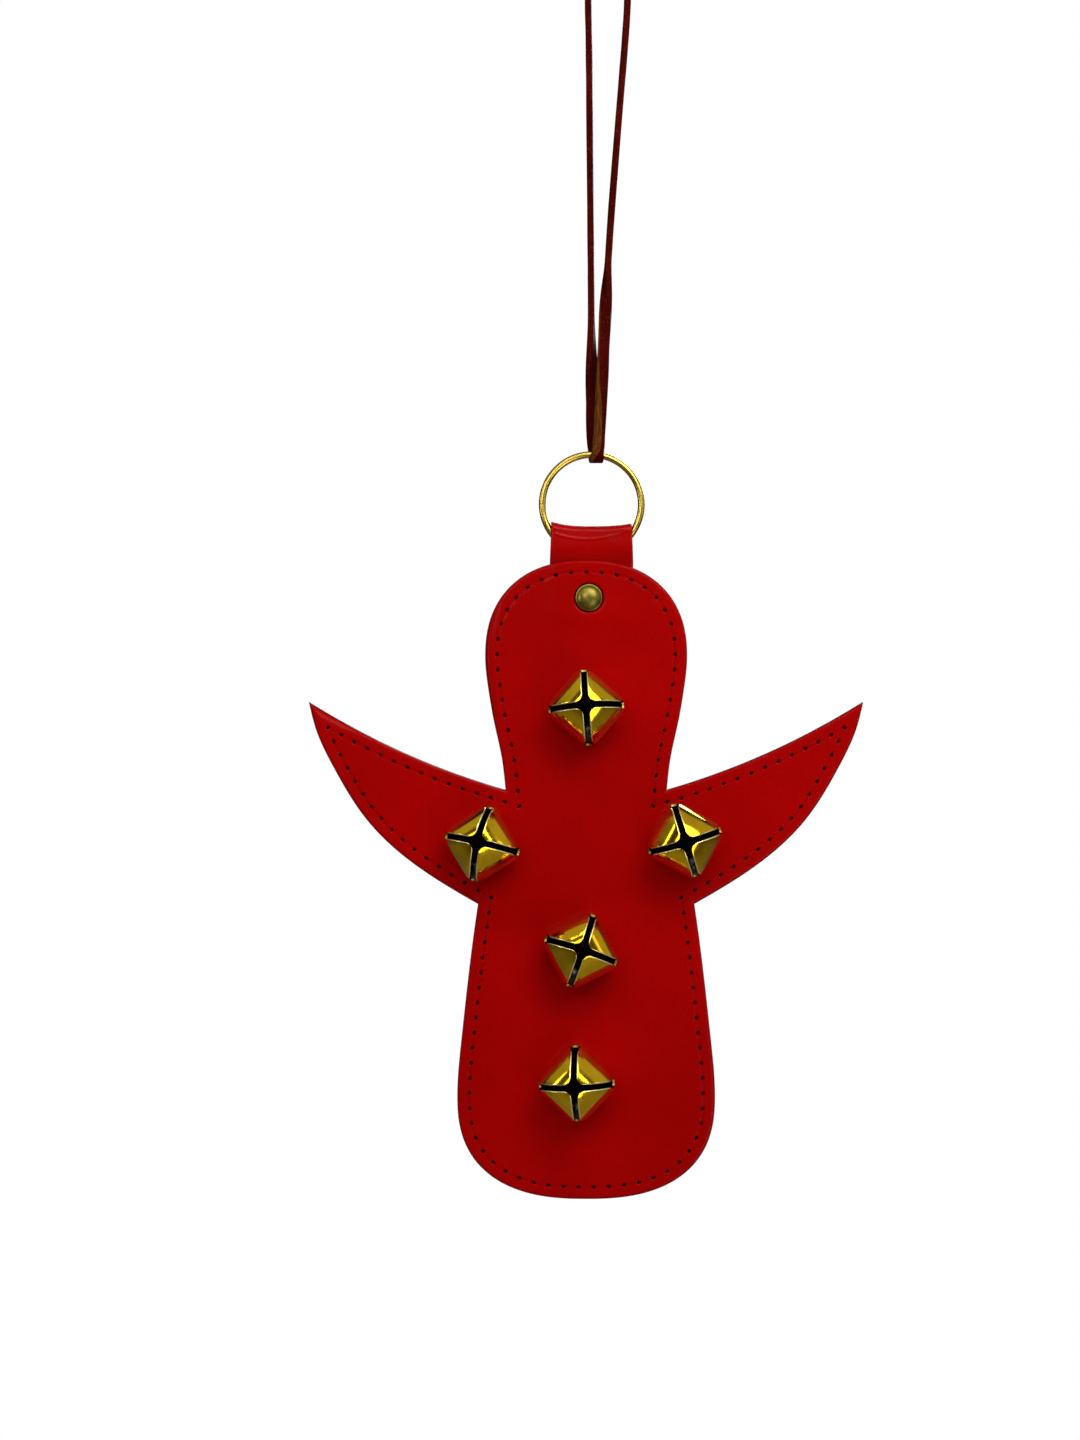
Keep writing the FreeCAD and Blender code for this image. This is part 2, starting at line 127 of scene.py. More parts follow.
class Nodes:
    """A node tree that takes a node, its settings and what feeds it in one call."""

    def __init__(self, tree):
        self.tree = tree

    def put(self, socket, value):
        if isinstance(value, bpy.types.NodeSocket):
            self.tree.links.new(value, socket)
        else:
            socket.default_value = value

    def add(self, kind, inputs=None, **settings):
        node = self.tree.nodes.new(kind)
        for label, value in settings.items():
            setattr(node, label, value)
        for label, value in (inputs or {}).items():
            self.put(node.inputs[label], value)
        return node

    def spread(self, factor, low, high, to_low=0.0, to_high=1.0, **settings):
        return self.add("ShaderNodeMapRange", {
            "Value": factor, "From Min": low, "From Max": high,
            "To Min": to_low, "To Max": to_high}, **settings).outputs["Result"]

    def combined(self, operation, first, second):
        return self.add("ShaderNodeMath", {0: first, 1: second}, operation=operation).outputs[0]

    def seen_or_not(self, hidden, seen, output):
        """Sends one shader to camera rays and another to all other rays."""
        to_camera = self.add("ShaderNodeLightPath").outputs["Is Camera Ray"]
        mix = self.add("ShaderNodeMixShader",
                       {0: to_camera, 1: hidden.outputs[0], 2: seen.outputs[0]})
        self.put(self.tree.nodes[output].inputs["Surface"], mix.outputs[0])


def add_room():
    """White behind the object, and grey walls that only the object itself sees."""
    world = bpy.data.worlds.new("studio")
    bpy.context.scene.world = world
    world.use_nodes = True
    nodes = Nodes(world.node_tree)
    direction = nodes.add("ShaderNodeTexCoord").outputs["Generated"]
    parts = nodes.add("ShaderNodeSeparateXYZ", {0: direction}).outputs
    ways = {"Y": parts["Y"], "X+Z": nodes.combined("ADD", parts["X"], parts["Z"])}
    walls = None
    for way, *values in ROOM_RAMPS:
        ramp = nodes.spread(ways[way], *values, interpolation_type="SMOOTHSTEP")
        walls = nodes.combined("MULTIPLY", walls, ramp) if walls else ramp
    room, white = nodes.tree.nodes["Background"], nodes.add("ShaderNodeBackground")
    nodes.put(room.inputs["Strength"], walls)
    for shader in (room, white):
        nodes.put(shader.inputs["Color"], (1, 1, 1, 1))
    nodes.seen_or_not(room, white, "World Output")


def add_floor():
    """A pale grey floor that looks white to the camera."""
    bpy.ops.mesh.primitive_plane_add(size=FLOOR_SIZE, location=(0, 0, FLOOR_Z))
    floor = bpy.context.object
    floor.name = "floor"
    paint = bpy.data.materials.new("floor_paint")
    paint.use_nodes = True
    nodes = Nodes(paint.node_tree)
    matt = nodes.tree.nodes["Principled BSDF"]
    nodes.put(matt.inputs["Base Color"], (FLOOR_GREY, FLOOR_GREY, FLOOR_GREY, 1))
    nodes.put(matt.inputs["Roughness"], 0.9)
    nodes.seen_or_not(matt, nodes.add("ShaderNodeEmission"), "Material Output")
    floor.data.materials.append(paint)


# ---- materials

class Finish(Nodes):
    """A Principled material whose inputs are fed by procedural texture nodes."""

    def __init__(self, name, **inputs):
        self.material = bpy.data.materials.new(name)
        self.material.use_nodes = True
        super().__init__(self.material.node_tree)
        self.shader = self.tree.nodes["Principled BSDF"]
        for label, value in inputs.items():
            self.shader.inputs[label.replace("_", " ")].default_value = value
        self.place = self.add("ShaderNodeTexCoord").outputs["Object"]

    def stretched(self, *scale):
        return self.add("ShaderNodeMapping", {"Vector": self.place,
                                              "Scale": scale}).outputs["Vector"]

    def noise(self, scale, detail=3.0, distortion=0.0, where=None):
        """Noise with features about 1/scale metres across."""
        return self.add("ShaderNodeTexNoise", {
            "Vector": where or self.place, "Scale": scale, "Detail": detail,
            "Distortion": distortion}).outputs["Fac"]

    def cells(self, scale):
        return self.add("ShaderNodeTexVoronoi", {"Vector": self.place, "Scale": scale},
                        feature="SMOOTH_F1").outputs["Distance"]

    def blend(self, factor, first, second):
        """The first colour where the factor is 0, the second where it is 1."""
        first, second = ((*colour, 1) if isinstance(colour, tuple) else colour
                         for colour in (first, second))
        return self.add("ShaderNodeMix", {0: factor, 6: first, 7: second},
                        data_type="RGBA").outputs[2]

    def feed(self, label, socket):
        self.put(self.shader.inputs[label], socket)

    def colour(self, factor, first, second):
        self.feed("Base Color", self.blend(factor, first, second))

    def roughness(self, factor, low, high, smooth, dull):
        self.feed("Roughness", self.spread(factor, low, high, smooth, dull))

    def bump(self, *layers):
        """Bumps, each a height and how deep it goes in metres; returns the finished material."""
        normal = None
        for height, depth in layers:
            inputs = {"Height": height, "Strength": 1.0, "Distance": depth}
            if normal:
                inputs["Normal"] = normal
            normal = self.add("ShaderNodeBump", inputs).outputs["Normal"]
        self.feed("Normal", normal)
        return self.material


def red_leather(name="red_leather", gloss=0.05):
    finish = Finish(name, Specular_IOR_Level=0.18, Specular_Tint=(1, 0.05, 0.04, 1),
                    Coat_Weight=gloss, Coat_Roughness=0.15)
    patches = finish.spread(finish.noise(22, 3, 0.6), 0.32, 0.68)
    mottle = finish.spread(finish.noise(700, 4), 0.3, 0.7)
    base = finish.blend(patches, (0.235, 0.0, 0.0), (0.285, 0.0001, 0.0001))
    finish.colour(finish.spread(mottle, 0, 1, 0, 0.2), base, (0.18, 0.0, 0.0))
    finish.roughness(finish.noise(160, 4), 0.25, 0.75, 0.4, 0.56)
    return finish.bump((finish.noise(90), 0.0001), (finish.cells(1500), 0.00002),
                       (finish.noise(2600), 0.000012))


def fibrous(name, scale, first, second, depth, **inputs):
    """Fine fibres: one noise gives both the colour and the bumps."""
    finish = Finish(name, **inputs)
    fibres = finish.noise(scale)
    finish.colour(fibres, first, second)
    return finish.bump((fibres, depth))


def edge_paint():
    finish = Finish("edge_paint", Roughness=0.5, Specular_IOR_Level=0.3)
    tone = finish.noise(400, 4)
    finish.colour(tone, (0.035, 0.001, 0.001), (0.012, 0.001, 0.001))
    return finish.bump((finish.noise(1200, 4, where=finish.stretched(1, 4, 1)), 0.00006))


def lining_suede():
    finish = Finish("lining_suede", Roughness=0.85, Specular_IOR_Level=0.15, Sheen_Weight=0.25,
                    Sheen_Roughness=0.4)
    patches = finish.spread(finish.noise(30, 4, 0.8), 0.3, 0.7)
    nap = finish.noise(1800, 5)
    base = finish.blend(patches, (0.2, 0.006, 0.005), (0.3, 0.014, 0.01))
    finish.colour(finish.spread(nap, 0.35, 0.7, 0, 0.5), base, (0.11, 0.003, 0.003))
    return finish.bump((nap, 0.0001), (finish.noise(260, 4), 0.00008))


def lace_grain():
    finish = Finish("lace_grain", Specular_IOR_Level=0.15, Specular_Tint=(1, 0.1, 0.06, 1))
    along = finish.stretched(1, 1, 0.22)
    tone = finish.spread(finish.noise(420, 5, 0.5, along), 0.3, 0.7)
    patches = finish.spread(finish.noise(60, 2), 0.35, 0.65)
    base = finish.blend(tone, (0.022, 0.0002, 0.0001), (0.06, 0.0014, 0.0006))
    stained = finish.blend(finish.spread(patches, 0, 1, 0, 0.5), base, (0.016, 0.0002, 0.0002))
    flecks = finish.spread(finish.noise(2300), 0.62, 0.72, 0, 0.8)
    finish.colour(flecks, stained, (0.16, 0.035, 0.006))
    finish.roughness(finish.noise(300), 0.3, 0.7, 0.62, 0.82)
    return finish.bump((finish.noise(900, 4, where=along), 0.00006), (finish.cells(2200), 0.00002))


def lace_flesh():
    finish = Finish("lace_flesh", Roughness=0.9, Specular_IOR_Level=0.1)
    fibres = finish.noise(1600, 5, 0.4, finish.stretched(1, 1, 0.15))
    finish.colour(finish.spread(fibres, 0.3, 0.7), (0.035, 0.005, 0.0005), (0.125, 0.04, 0.002))
    return finish.bump((fibres, 0.0001))


def brass(name, light, dark, roughness, waves, scratches=0.000002):
    """Polished brass: colour drifts from light to dark, and the sheet is a little wavy."""
    finish = Finish(name, Metallic=1.0)
    tone = finish.spread(finish.noise(140, 4, 0.7), 0.35, 0.7)
    finish.colour(tone, light, dark)
    finish.roughness(finish.noise(500, 4), 0.3, 0.75, *roughness)
    brushed = finish.noise(2500, where=finish.stretched(1, 1, 8))
    return finish.bump((finish.noise(170, 2), waves), (brushed, scratches))


def plain_metal(name, tone, first, second, roughness, grain, depth, **inputs):
    """One noise for colour and roughness, a finer one for bumps, each as its scale and detail."""
    finish = Finish(name, **inputs)
    tone = finish.noise(*tone)
    finish.colour(tone, first, second)
    finish.roughness(tone, 0.3, 0.7, *roughness)
    return finish.bump((finish.noise(*grain), depth))


# ---- shared geometry

def smooth_step(value, low, high):
    share = np.clip((value - low) / (high - low), 0, 1)
    return share * share * (3 - 2 * share)


def rough(points, scale, seed=0.0):
    """Smooth noise from -1 to 1 at each point, with features about 1/scale metres across."""
    return np.array([noise.noise(Vector(point) * scale + Vector((seed, 0, 0)))
                     for point in points])


def make_piece(name, points, faces, materials, body, node, face_materials=None,
               weld_gap=None):
    """A mesh object that rides on a body and stands for the CAD node that it replaces.

    With a weld gap, points that close together are joined.
    """
    mesh = bpy.data.meshes.new(name)
    mesh.from_pydata([tuple(point) for point in points], [], [tuple(face) for face in faces])
    for material in materials:
        mesh.materials.append(material)
    if face_materials is not None:
        mesh.polygons.foreach_set("material_index", np.array(face_materials, dtype=np.int32))
    mesh.polygons.foreach_set("use_smooth", [True] * len(mesh.polygons))
    mesh.update()
    piece = add_object(name, mesh)
    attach(piece, body)
    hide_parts(node)
    work = bmesh.new()
    work.from_mesh(mesh)
    if weld_gap:
        bmesh.ops.remove_doubles(work, verts=work.verts, dist=weld_gap)
        bmesh.ops.dissolve_degenerate(work, edges=work.edges, dist=weld_gap / 10)
    bmesh.ops.recalc_face_normals(work, faces=work.faces)
    work.to_mesh(mesh)
    work.free()
    return piece


def ring_faces(first, second, count):
    """Four-sided faces between two rings of points, given where each starts."""
    return [(first + index, first + (index + 1) % count, second + (index + 1) % count,
             second + index) for index in range(count)]


def round_angles(count):
    """Even angles round a circle."""
    return [math.tau * step / count for step in range(count)]


def tube_faces(start, rows, count):
    """The faces between each two rings of a row of them."""
    return [face for row in range(rows - 1)
            for face in ring_faces(start + row * count, start + (row + 1) * count, count)]


def spline(points, start=None, end=None):
    """A smooth curve through the points; start and end are its directions there, if set."""
    points = np.array(points, float)
    count = len(points)
    spans = np.linalg.norm(np.diff(points, axis=0), axis=1)
    matrix, right = np.zeros((count, count)), np.zeros((count, points.shape[1]))
    slopes = np.diff(points, axis=0) / spans[:, None]
    for index in range(1, count - 1):
        before, after = spans[index - 1], spans[index]
        matrix[index, index - 1:index + 2] = after, 2 * (before + after), before
        right[index] = 3 * (after * slopes[index - 1] + before * slopes[index])
    for row, neighbour, direction, slope in ((0, 1, start, slopes[0]), (-1, -2, end, slopes[-1])):
        matrix[row, row] = 1 if direction else 2
        matrix[row, neighbour] = 0 if direction else 1
        right[row] = np.array(direction) / np.linalg.norm(direction) if direction else 3 * slope
    tangents = np.linalg.solve(matrix, right)
    pieces = []
    for index, span in enumerate(spans):
        share = np.linspace(0, 1, max(2, int(span / CURVE_SPACING)))[:, None]
        if index:
            share = share[1:]
        first, second = points[index], points[index + 1]
        pieces.append((2 * share ** 3 - 3 * share ** 2 + 1) * first
                      + (share ** 3 - 2 * share ** 2 + share) * span * tangents[index]
                      + (3 * share ** 2 - 2 * share ** 3) * second
                      + (share ** 3 - share ** 2) * span * tangents[index + 1])
    return np.vstack(pieces)


def unit(rows):
    return rows / np.linalg.norm(rows, axis=1)[:, None]


def length_along(line):
    steps = np.linalg.norm(np.diff(line, axis=0), axis=1)
    return np.concatenate([[0], np.cumsum(steps)])


def divided(line, count):
    """The points that divide a line into equal parts, both ends included."""
    done = length_along(line)
    lengths = np.linspace(0, done[-1], count + 1)
    return np.stack([np.interp(lengths, done, values) for values in line.T], 1)


def evenly(line, spacing):
    return divided(line, max(1, round(length_along(line)[-1] / spacing)))


def distance_to_loop(places, loop):
    """How far each place is from a closed loop of points."""
    step = np.roll(loop, -1, axis=0) - loop
    square = np.maximum((step ** 2).sum(1), 1e-18)
    nearest = []
    for chunk in np.array_split(places, max(1, len(places) // 500)):
        offset = chunk[:, None] - loop[None]
        share = np.clip((offset * step).sum(2) / square, 0, 1)
        gap = offset - share[..., None] * step
        nearest.append(np.sqrt((gap ** 2).sum(2)).min(1))
    return np.concatenate(nearest)


def inside(places, loop):
    """Whether each place is inside a closed loop."""
    x, z = places[:, 0][:, None], places[:, 1][:, None]
    x1, z1 = loop[:, 0], loop[:, 1]
    x2, z2 = np.roll(x1, -1), np.roll(z1, -1)
    straddles = (z1 > z) != (z2 > z)
    rise = np.where(z2 == z1, 1e-18, z2 - z1)
    crosses = x < (x2 - x1) * (z - z1) / rise + x1
    return (straddles & crosses).sum(1) % 2 == 1


# ---- the angel's outline

def quarter(half_width, rise, roundness, centre_z):
    """A quarter superellipse from its top (or, for a negative rise, from its side) as points."""
    angles = np.linspace(0, math.pi / 2, 120)
    if rise < 0:
        angles = angles[::-1]
    across = half_width * np.sin(angles) ** (2 / roundness)
    return np.stack([across, centre_z + rise * np.cos(angles) ** (2 / roundness)], 1)


def arc(first, middle, last):
    """The round arc through three points."""
    first, middle, last = (np.array(place) for place in (first, middle, last))
    sides = np.array([middle - first, last - first])
    centre = first + np.linalg.solve(2 * sides, (sides ** 2).sum(1))
    start, end = (math.atan2(*(place - centre)[::-1]) for place in (first, last))
    radius = np.linalg.norm(first - centre)
    turn = (end - start + math.pi) % math.tau - math.pi
    angles = start + turn * np.linspace(0, 1, int(abs(turn) * radius / CURVE_SPACING))
    return centre + radius * np.stack([np.cos(angles), np.sin(angles)], 1)


def right_sections():
    """Head, wing top, wing sweep and skirt: the outline's right half between its corners."""
    head_widest = (HEAD_HALF, -HEAD_RISE)
    skirt_widest = (SKIRT_HALF, SKIRT_WIDEST)
    hem_drop = SKIRT_WIDEST - (HEM_BOTTOM - HEAD_TOP)
    head_side = spline([head_widest, *HEAD_SIDE, ARMPIT], (0, -1), (-0.1, -1))
    skirt_side = spline([WAIST, *SKIRT_SIDE, skirt_widest], (0.15, -1), (0, -1))
    return [
        np.vstack([quarter(HEAD_HALF, HEAD_RISE, HEAD_ROUNDNESS, -HEAD_RISE), head_side[1:]]),
        arc(ARMPIT, WING_TOP_MID, WING_TIP),
        spline([WING_TIP, *WING_SWEEP, WAIST]),
        np.vstack([skirt_side, quarter(SKIRT_HALF, -hem_drop, HEM_ROUNDNESS, SKIRT_WIDEST)[1:]])]


def crossing(first, second):
    """Where two lines of points cross, and the index in each of the step that does."""
    for index in range(len(first) - 2, -1, -1):
        start, along = first[index], first[index + 1] - first[index]
        offset, steps = second[:-1] - start, np.diff(second, axis=0)
        denominator = along[0] * steps[:, 1] - along[1] * steps[:, 0]
        denominator[denominator == 0] = 1e-18
        on_first = (offset[:, 0] * steps[:, 1] - offset[:, 1] * steps[:, 0]) / denominator
        on_second = (offset[:, 0] * along[1] - offset[:, 1] * along[0]) / denominator
        hits = np.flatnonzero((abs(on_first - 0.5) <= 0.5) & (abs(on_second - 0.5) <= 0.5))
        if len(hits):
            return start + along * on_first[hits[0]], index, hits[0]


def mitre(first, second):
    """Where the end of one line and the start of the next meet when drawn on straight."""
    along, back = first[-1] - first[-3], second[0] - second[2]
    share = np.linalg.solve(np.stack([along, -back], 1), second[0] - first[-1])[0]
    return first[-1] + along * share


def inset_sections(distance):
    """The right half's sections moved inwards by a distance, meeting at sharp corners."""
    moved = []
    for line in right_sections():
        along = unit(np.gradient(line, axis=0))
        inwards = np.stack([along[:, 1], -along[:, 0]], 1)
        moved.append(line + inwards * distance)
    head, wing_top, sweep, skirt = moved
    if distance:
        tip, last, first = crossing(wing_top, sweep)
        wing_top = np.vstack([wing_top[:last + 1], tip])
        sweep = np.vstack([tip, sweep[first + 1:]])
        armpit, waist = mitre(head, wing_top), mitre(sweep, skirt)
        head, wing_top = np.vstack([head, armpit]), np.vstack([armpit, wing_top])
        sweep, skirt = np.vstack([sweep, waist]), np.vstack([waist, skirt])
    head[0, 0] = skirt[-1, 0] = 0
    return [head, wing_top, sweep, skirt]


def mirrored(line):
    return (line * np.array([-1, 1]))[::-1]


def stretches(distance):
    """The whole inset outline between its six sharp corners, clockwise from the right armpit."""
    head, wing_top, sweep, skirt = inset_sections(distance)
    hem = np.vstack([skirt, mirrored(skirt)[1:]])
    crown = np.vstack([mirrored(head), head[1:]])
    lines = [wing_top, sweep, hem, mirrored(sweep), mirrored(wing_top), crown]
    return [line + np.array([ANGEL_X, HEAD_TOP]) for line in lines]


def closed_loop(distance, spacing):
    """The inset outline as evenly spaced points, with its corners kept."""
    return np.vstack([evenly(line, spacing)[:-1] for line in stretches(distance)])


def stitch_holes():
    """The places of the stitch holes, in order round the outline, and each one's direction."""
    places = closed_loop(STITCH_INSET, STITCH_PITCH)
    along = np.roll(places, -1, axis=0) - np.roll(places, 1, axis=0)
    return places, unit(along)


def wing_curl(x):
    """How far forwards the wings' tips have curled, the left one more than the right one."""
    out = np.abs(x - ANGEL_X) - WING_TIP[0]
    return np.where(x < ANGEL_X, 0.0016, 0.0005) * smooth_step(out, -0.016, 0.0) ** 1.5


# ---- leather panels

HOLES, HOLE_ALONG = stitch_holes()
OUTLINE = closed_loop(0, 0.0004)
STITCH_LINE = closed_loop(STITCH_INSET, 0.0008)
CAP_LOW, CAP_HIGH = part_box("tab_rivet_cap")
RIVET = np.array([(CAP_LOW.x + CAP_HIGH.x) / 2, (CAP_LOW.z + CAP_HIGH.z) / 2])
CAP_RADIUS = (CAP_HIGH.x - CAP_LOW.x) / 2
TAB_LOW, TAB_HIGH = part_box("hanger_tab")
HOLE_HALF_LENGTH, HOLE_HALF_WIDTH = 0.00074, 0.00058
RIM_INSETS = (0, 0.00003, 0.0001, 0.00022, 0.0004, 0.00062, 0.00085, 0.0012, 0.0018, 0.0026)
PAINTED_INSET = 0.00015  # the edge paint ends here, in from the outline
WALL_ROWS = 4
GROOVE_HALF_WIDTH = 0.0004
# The thread: its height in a hole and how far it rises from there, its two strands and their twist
THREAD_LOW, THREAD_RISE = -0.0017, 0.0015
STRAND_RADIUS, TWIST_RADIUS, THREAD_TURNS = 0.00014, 0.00012, 3.0


def hole_reach(places):
    """How far each place is from its nearest stitch hole, as a share of the hole's half size."""
    reach = np.full(len(places), 9.0)
    for hole, along in zip(HOLES, HOLE_ALONG):
        near = np.flatnonzero(np.abs(places - hole).max(1) < 0.002)
        offset = places[near] - hole
        across = offset[:, 0] * along[1] - offset[:, 1] * along[0]
        share = np.hypot(offset @ along / HOLE_HALF_LENGTH, across / HOLE_HALF_WIDTH)
        reach[near] = np.minimum(reach[near], share)
    return reach


def rivet_reach(places):
    """How far each place is from the tab's rivet, as a share of its cap's radius."""
    return np.linalg.norm(places - RIVET, axis=1) / CAP_RADIUS


def hole_depths(places, depth):
    """How deep the stitch holes go at each place."""
    return depth * (1 - smooth_step(hole_reach(places), 0.55, 1.2))


def rim_rings():
    """The outline and its insets with the same count of points on each, so that they pair up."""
    counts = [max(3, round(length_along(line)[-1] / 0.0008)) for line in stretches(0)]
    return [np.vstack([divided(line, count)[:-1] for line, count in zip(stretches(inset), counts)])
            for inset in RIM_INSETS]


def panel_places():
    """Points inside the rim: dense at the stitch groove and round each hole, wider elsewhere."""
    groove = np.vstack([closed_loop(STITCH_INSET + offset, 0.0009) for offset in (
        -0.0007, -0.0004, -0.0002, 0, 0.0002, 0.0004, 0.0007, 0.0014, 0.0026)])
    groove = groove[hole_reach(groove) > 1.85]
    around = []
    for hole, along in zip(HOLES, HOLE_ALONG):
        length, width = HOLE_HALF_LENGTH * along, HOLE_HALF_WIDTH * np.array([along[1], -along[0]])
        around.append(hole)
        for share, count in ((0.5, 8), (0.8, 12), (1.0, 16), (1.22, 16), (1.55, 16)):
            around += [hole + share * (math.cos(angle) * length + math.sin(angle) * width)
                       for angle in round_angles(count)]
    for share in (0.8, 0.9, 0.96, 1.0, 1.04, 1.08, 1.14, 1.24, 1.4):
        around += [RIVET + np.array([math.cos(angle), math.sin(angle)]) * share * CAP_RADIUS
                   for angle in round_angles(48)]
    spacing = 0.0022
    low, high = OUTLINE.min(0), OUTLINE.max(0)
    grid = []
    for row, z in enumerate(np.arange(low[1], high[1], spacing * math.sqrt(3) / 2)):
        shift = spacing / 2 * (row % 2)
        grid += [(x + shift, z) for x in np.arange(low[0], high[0], spacing)]
    grid = np.array(grid)
    grid = grid[inside(grid, closed_loop(STITCH_INSET + 0.0038, 0.0015))]
    return np.vstack([groove, np.array(around), grid[rivet_reach(grid) > 1.55]])


def triangulated(loop, places):
    """Triangles over the inside of the loop, through the loop's points and the places."""
    corners = [Vector(place) for place in np.vstack([loop, places])]
    points, _, faces, *_ = delaunay_2d_cdt(corners, [], [list(range(len(loop)))], 1, 1e-8)
    return np.array([tuple(point) for point in points]), [tuple(face) for face in faces]


def leather_panel(name, face_y, join_y, edge_radius, relief, materials, node):
    """A leather angel: a worked face with a rounded rim, painted edges and a flat hidden side.

    relief gives how far the face sinks at each place. The materials are for the face, the
    edges, and the painted shade in the stitch holes and in the gap round the front rivet.
    """
    into = math.copysign(1, join_y - face_y)
    rings = rim_rings()
    count = len(rings[0])
    middle, middle_faces = triangulated(rings[-1], panel_places())
    flat = np.vstack([*rings[:-1], middle])
    from_edge = distance_to_loop(flat, OUTLINE)
    from_edge[:len(rings) * count] = np.repeat(RIM_INSETS, count)
    short = np.clip(edge_radius - from_edge, 0, None)
    drop = edge_radius - np.sqrt(edge_radius ** 2 - short ** 2)
    curl = wing_curl(flat[:, 0])
    depth = face_y + into * (drop + relief(flat, from_edge)) - curl
    points = [(x, y, z) for (x, z), y in zip(flat, depth)]

    faces = tube_faces(0, len(rings), count)
    kinds = [int(inset < PAINTED_INSET) for inset in RIM_INSETS[1:] for _ in range(count)]
    start = (len(rings) - 1) * count
    # Faces deep in a stitch hole, and on the front those in the gap round the rivet, take the
    # third material: painted shade
    dark = hole_reach(middle) < 0.9
    if node == "front_panel":
        dark |= (rivet_reach(middle) > 0.85) & (rivet_reach(middle) < 1.09)
    for face in middle_faces:
        faces.append(tuple(start + corner for corner in face))
        kinds.append(2 * int(dark[list(face)].all()))

    above = 0
    for row in range(1, WALL_ROWS + 1):
        share = row / WALL_ROWS
        below = len(points)
        points += [(x, y + (join_y - bend - y) * share, z)
                   for (x, y, z), bend in zip(points[:count], curl)]
        faces += ring_faces(above, below, count)
        kinds += [1] * count
        above = below
    faces.append(tuple(range(above, above + count)))
    kinds.append(0)
    make_piece(name, points, faces, materials, "angel", node, kinds)


def groove(places, depth):
    """The groove that the stitches lie in."""
    return depth * np.exp(-(distance_to_loop(places, STITCH_LINE) / GROOVE_HALF_WIDTH) ** 2)


def uneven(places, scale, seed=0.0):
    """The noise of rough() at places on the panel."""
    return rough(np.insert(places, 1, 0, axis=1), scale, seed)


def front_relief(places, from_edge):
    """The groove, stitch holes, the tab's bulge, the rivet's dimple and slow unevenness."""
    across = np.minimum(places[:, 0] - TAB_LOW.x, TAB_HIGH.x - places[:, 0])
    tab = 0.00028 * smooth_step(across, -0.003, 0.003) * smooth_step(
        places[:, 1], TAB_LOW.z - 0.003, TAB_LOW.z + 0.003)
    from_rivet = rivet_reach(places)
    dimple = 0.0003 * np.exp(-(from_rivet / 1.45) ** 2) + 0.00065 * np.exp(
        -((from_rivet - 1.03) / 0.075) ** 2)
    slow = 0.00013 * uneven(places, 38) + 0.00003 * uneven(places, 150, 7.0)
    soft = slow * smooth_step(from_edge, 0, 0.004)
    head_height = places[:, 1] - HEAD_TOP
    on_left_head = (places[:, 0] < ANGEL_X) * smooth_step(head_height, -0.062, -0.05) * (
        1 - smooth_step(head_height, -0.024, -0.012))
    rolled = 0.0009 * on_left_head * (1 - smooth_step(from_edge, 0.0, 0.0028)) ** 2
    return (groove(places, 0.00009) - tab + dimple + soft
            + rolled * smooth_step(from_edge, 0, 0.0001) + hole_depths(places, 0.0015))


def back_relief(places, from_edge):
    slow = 0.00006 * (1 + uneven(places, 45, 3.0)) * smooth_step(from_edge, 0, 0.003)
    return groove(places, 0.00012) + slow + hole_depths(places, 0.0011)


# ---- stitches

def stitches(name, face_y, into, material, node):
    """Two-ply thread, one stitch from each hole to the next, diving into both."""
    sides, steps = 5, 20
    out = np.array([0, -into, 0])
    points, faces = [], []
    for index, start in enumerate(HOLES):
        run = HOLES[(index + 1) % len(HOLES)] - start
        side_way = np.array([run[1], 0, -run[0]]) / np.linalg.norm(run)
        lean = 0.08 * noise.noise(Vector((index * 3.7, face_y * 900, 0)))
        for ply in (0, math.pi):
            base = len(points)
            for step in range(steps + 1):
                share = step / steps
                height = THREAD_LOW + THREAD_RISE * float(
                    smooth_step(min(share, 1 - share), 0.055, 0.135))
                place = start + run * share
                spin = math.tau * THREAD_TURNS * share + ply + index
                centre = (np.array([place[0], face_y, place[1]]) + out * height
                          + TWIST_RADIUS * (math.cos(spin) * side_way + math.sin(spin) * out)
                          + side_way * lean * 0.002 * math.sin(math.pi * share))
                points += [centre + STRAND_RADIUS * (
                    math.cos(angle) * side_way + math.sin(angle) * out)
                    for angle in round_angles(sides)]
            faces += tube_faces(base, steps + 1, sides)
            faces += [range(first, first + sides) for first in (base, base + steps * sides)]
    points = np.array(points)
    points[:, 1] -= wing_curl(points[:, 0])
    make_piece(name, points, faces, [material], "angel", node)


# ---- strips: lace and tab

CORNER_STEPS = 4


def rounded_rectangle(half_width, half_thickness, radius, flat_steps=6):
    """A closed section as (across, out) pairs, its two wide sides divided into steps."""
    corners = []
    for side_x, side_y, start in ((1, 1, 0), (-1, 1, 90), (-1, -1, 180), (1, -1, 270)):
        angles = [math.radians(start + 90 * step / CORNER_STEPS)
                  for step in range(CORNER_STEPS + 1)]
        corners.append(np.array([
            (side_x * (half_width - radius) + radius * math.cos(angle),
             side_y * (half_thickness - radius) + radius * math.sin(angle)) for angle in angles]))
    wide = [[start[-1] + (end[0] - start[-1]) * (step / flat_steps)
             for step in range(1, flat_steps)] for start, end in (corners[:2], corners[2:])]
    return np.vstack([corners[0], wide[0], *corners[1:3], wide[1], corners[3]])


def swept_strip(line, across, section, scale=(1, 1)):
    """Points and faces of a section carried along a line, wide in the across direction."""
    along = unit(np.gradient(line, axis=0))
    wide = unit(across - (across * along).sum(1)[:, None] * along)
    out = np.cross(wide, along)
    scale = np.broadcast_to(scale, (len(line), 2))
    rings = (line[:, None] + (section[None, :, 0] * scale[:, 0:1])[..., None] * wide[:, None]
             + (section[None, :, 1] * scale[:, 1:2])[..., None] * out[:, None])
    count, sides = len(line), len(section)
    faces = tube_faces(0, count, sides)
    faces += [range(first, first + sides) for first in (0, (count - 1) * sides)]
    return rings.reshape(-1, 3), faces


